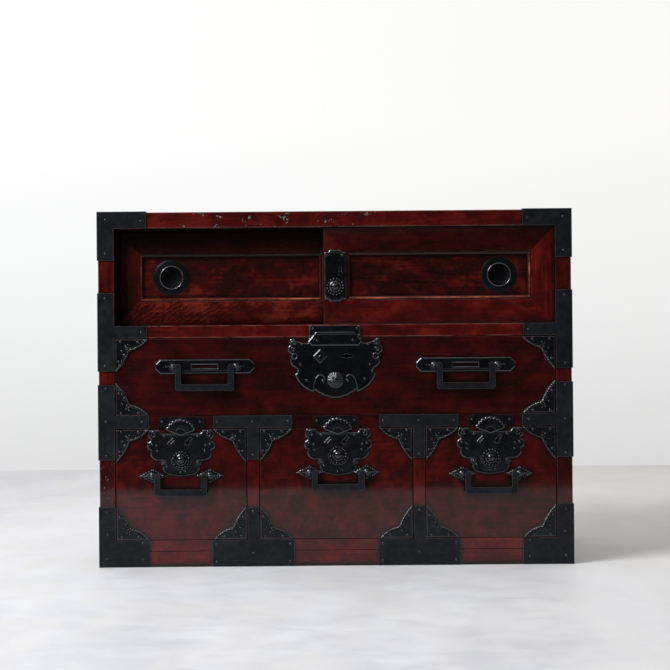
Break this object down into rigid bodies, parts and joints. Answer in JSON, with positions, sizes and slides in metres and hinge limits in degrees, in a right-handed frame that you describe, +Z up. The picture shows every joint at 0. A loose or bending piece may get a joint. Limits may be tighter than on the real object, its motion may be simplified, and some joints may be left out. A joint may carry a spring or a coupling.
{
  "type": "tansu chest",
  "caption": "Low lacquered wooden chest with sliding panel doors above pull-out drawers, bound with black iron corner straps, scalloped lock plates and swinging square bail handles.",
  "frame": {"origin": "on the floor under the middle of the chest's outer box", "axes": "+X along the width to the right as seen from the front, +Y from the front to the back, +Z up"},
  "size_m": [0.9038, 0.435, 0.6769],
  "materials": {
    "lacquered_wood": "dark red-brown lacquer, semi-gloss, worn on the edges",
    "bare_wood": "bare planed wood, matt",
    "black_iron": "black wrought iron with a low sheen"
  },
  "bodies": {
    "carcass": {"top_panel": "lacquered_wood", "left_side_panel": "lacquered_wood", "right_side_panel": "lacquered_wood", "bottom_board": "lacquered_wood", "base_rail": "lacquered_wood", "upper_shelf": "lacquered_wood", "lower_shelf": "lacquered_wood", "left_partition": "lacquered_wood", "right_partition": "lacquered_wood", "back_panel": "bare_wood", "rear_base_rail": "bare_wood", "top_left_corner_iron": "black_iron", "upper_left_corner_iron": "black_iron", "lower_left_corner_iron": "black_iron", "base_left_corner_iron": "black_iron", "left_tee_iron": "black_iron", "left_base_tee_iron": "black_iron", "top_right_corner_iron": "black_iron", "upper_right_corner_iron": "black_iron", "lower_right_corner_iron": "black_iron", "base_right_corner_iron": "black_iron", "right_tee_iron": "black_iron", "right_base_tee_iron": "black_iron"},
    "left_door": {"left_door_frame": "lacquered_wood", "left_door_panel": "lacquered_wood", "left_door_pull": "black_iron"},
    "right_door": {"right_door_frame": "lacquered_wood", "right_door_panel": "lacquered_wood", "right_door_pull": "black_iron", "right_door_lock": "black_iron"},
    "wide_drawer": {"wide_drawer_front": "lacquered_wood", "wide_drawer_tray": "bare_wood", "wide_drawer_bottom": "bare_wood", "wide_drawer_lock": "black_iron", "wide_left_handle_plate": "black_iron", "wide_right_handle_plate": "black_iron"},
    "wide_left_bail": {"wide_left_bail": "black_iron"},
    "wide_right_bail": {"wide_right_bail": "black_iron"},
    "left_drawer": {"left_drawer_front": "lacquered_wood", "left_drawer_tray": "bare_wood", "left_drawer_bottom": "bare_wood", "left_drawer_lock": "black_iron", "left_drawer_left_post_plate": "black_iron", "left_drawer_right_post_plate": "black_iron"},
    "left_drawer_bail": {"left_drawer_bail": "black_iron"},
    "middle_drawer": {"middle_drawer_front": "lacquered_wood", "middle_drawer_tray": "bare_wood", "middle_drawer_bottom": "bare_wood", "middle_drawer_lock": "black_iron", "middle_drawer_left_post_plate": "black_iron", "middle_drawer_right_post_plate": "black_iron"},
    "middle_drawer_bail": {"middle_drawer_bail": "black_iron"},
    "right_drawer": {"right_drawer_front": "lacquered_wood", "right_drawer_tray": "bare_wood", "right_drawer_bottom": "bare_wood", "right_drawer_lock": "black_iron", "right_drawer_left_post_plate": "black_iron", "right_drawer_right_post_plate": "black_iron"},
    "right_drawer_bail": {"right_drawer_bail": "black_iron"}
  },
  "joints": [
    {"name": "left_door_slide", "type": "slide", "parent": "carcass", "child": "left_door", "axis": [1, 0, 0], "range_m": [0, 0.39]},
    {"name": "right_door_slide", "type": "slide", "parent": "carcass", "child": "right_door", "axis": [1, 0, 0], "range_m": [-0.39, 0]},
    {"name": "wide_drawer_slide", "type": "slide", "parent": "carcass", "child": "wide_drawer", "axis": [0, -1, 0], "range_m": [0, 0.3]},
    {"name": "wide_left_bail_swing", "type": "hinge", "parent": "wide_drawer", "child": "wide_left_bail", "pos_m": [-0.248, -0.2135, 0.381], "axis": [-1, 0, 0], "range_deg": [0, 90]},
    {"name": "wide_right_bail_swing", "type": "hinge", "parent": "wide_drawer", "child": "wide_right_bail", "pos_m": [0.248, -0.2135, 0.381], "axis": [-1, 0, 0], "range_deg": [0, 90]},
    {"name": "left_drawer_slide", "type": "slide", "parent": "carcass", "child": "left_drawer", "axis": [0, -1, 0], "range_m": [0, 0.3]},
    {"name": "left_drawer_bail_swing", "type": "hinge", "parent": "left_drawer", "child": "left_drawer_bail", "pos_m": [-0.2945, -0.2135, 0.1735], "axis": [-1, 0, 0], "range_deg": [0, 90]},
    {"name": "middle_drawer_slide", "type": "slide", "parent": "carcass", "child": "middle_drawer", "axis": [0, -1, 0], "range_m": [0, 0.3]},
    {"name": "middle_drawer_bail_swing", "type": "hinge", "parent": "middle_drawer", "child": "middle_drawer_bail", "pos_m": [0.004, -0.2135, 0.178], "axis": [-1, 0, 0], "range_deg": [0, 90]},
    {"name": "right_drawer_slide", "type": "slide", "parent": "carcass", "child": "right_drawer", "axis": [0, -1, 0], "range_m": [0, 0.3]},
    {"name": "right_drawer_bail_swing", "type": "hinge", "parent": "right_drawer", "child": "right_drawer_bail", "pos_m": [0.2945, -0.2135, 0.1735], "axis": [-1, 0, 0], "range_deg": [0, 90]}
  ]
}
